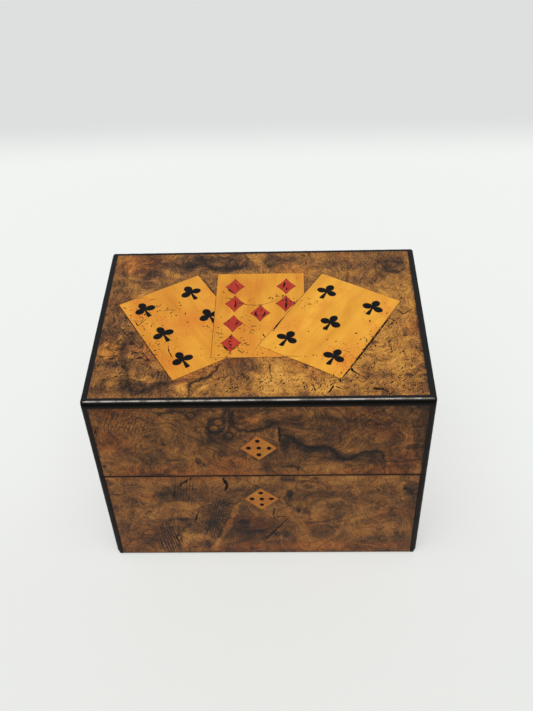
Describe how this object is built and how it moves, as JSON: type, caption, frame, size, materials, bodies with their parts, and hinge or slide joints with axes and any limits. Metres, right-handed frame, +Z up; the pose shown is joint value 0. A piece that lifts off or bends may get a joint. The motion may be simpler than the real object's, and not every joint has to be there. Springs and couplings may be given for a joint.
{
  "type": "playing card box with drawer",
  "caption": "Rectangular veneered wooden box with a back-hinged lid over a card rack, a drawer behind the lower front, black edging and inlaid playing cards and dice.",
  "frame": {"origin": "on the surface the box stands on, under the middle of its outline", "axes": "+Z up, -Y out of the front where the drawer opens, +X to the right seen from the front"},
  "size_m": [0.228, 0.157, 0.17],
  "materials": {
    "burr_veneer": "French polished burr walnut veneer, worn and crazed",
    "black_edging": "ebonised, polished, worn pale along the arrises",
    "boxwood_card": "yellow boxwood veneer under old polish",
    "ebony_inlay": "ebony inlay, polished",
    "red_inlay": "red stained wood inlay, polished",
    "die_wood": "boxwood inlay under old polish",
    "carcass_wood": "mahogany, waxed",
    "rack_wood": "mahogany, polished",
    "drawer_wood": "cedar, waxed",
    "velvet_lining": "dark blue velvet",
    "green_baize": "green baize",
    "hinge_brass": "aged brass",
    "brass_screw": "aged brass, slotted"
  },
  "bodies": {
    "base": {"base_bottom_board": "carcass_wood", "base_left_board": "carcass_wood", "base_right_board": "carcass_wood", "base_back_board": "carcass_wood", "shelf_board": "rack_wood", "base_left_veneer": "burr_veneer", "base_right_veneer": "burr_veneer", "base_back_veneer": "burr_veneer", "base_corner_edging": "black_edging", "rack_front_wall": "rack_wood", "rack_back_wall": "rack_wood", "rack_left_wall": "rack_wood", "rack_right_wall": "rack_wood", "rack_cross_wall": "rack_wood", "rack_centre_wall": "rack_wood", "well_linings": "velvet_lining", "base_baize": "green_baize", "hinge_base_leaves": "hinge_brass", "hinge_pins": "hinge_brass", "hinge_base_screws": "brass_screw"},
    "lid": {"lid_top_board": "carcass_wood", "lid_front_board": "carcass_wood", "lid_back_board": "carcass_wood", "lid_left_board": "carcass_wood", "lid_right_board": "carcass_wood", "lid_lining": "velvet_lining", "lid_top_veneer": "burr_veneer", "lid_front_veneer": "burr_veneer", "lid_dice_inlay": "die_wood", "lid_dice_pips": "ebony_inlay", "lid_back_veneer": "burr_veneer", "lid_left_veneer": "burr_veneer", "lid_right_veneer": "burr_veneer", "lid_edging_front": "black_edging", "lid_edging_back": "black_edging", "lid_edging_left": "black_edging", "lid_edging_right": "black_edging", "lid_corner_edging": "black_edging", "card_inlay_left": "boxwood_card", "card_inlay_middle": "boxwood_card", "card_inlay_right": "boxwood_card", "club_pips_left": "ebony_inlay", "diamond_pips": "red_inlay", "club_pips_right": "ebony_inlay", "hinge_lid_leaves": "hinge_brass", "hinge_lid_screws": "brass_screw"},
    "drawer": {"drawer_front_board": "carcass_wood", "drawer_inner_front": "carcass_wood", "drawer_front_veneer": "burr_veneer", "drawer_dice_inlay": "die_wood", "drawer_dice_pips": "ebony_inlay", "drawer_left_side": "drawer_wood", "drawer_right_side": "drawer_wood", "drawer_back": "drawer_wood", "drawer_bottom": "drawer_wood", "drawer_centre_divider": "drawer_wood", "drawer_cross_divider": "drawer_wood", "drawer_linings": "velvet_lining"}
  },
  "joints": [
    {"name": "lid_hinge", "type": "hinge", "parent": "base", "child": "lid", "pos_m": [0, 0.0753, 0.09525], "axis": [-1, 0, 0], "range_deg": [0, 100]},
    {"name": "drawer_slide", "type": "slide", "parent": "base", "child": "drawer", "axis": [0, -1, 0], "range_m": [0, 0.105]}
  ]
}
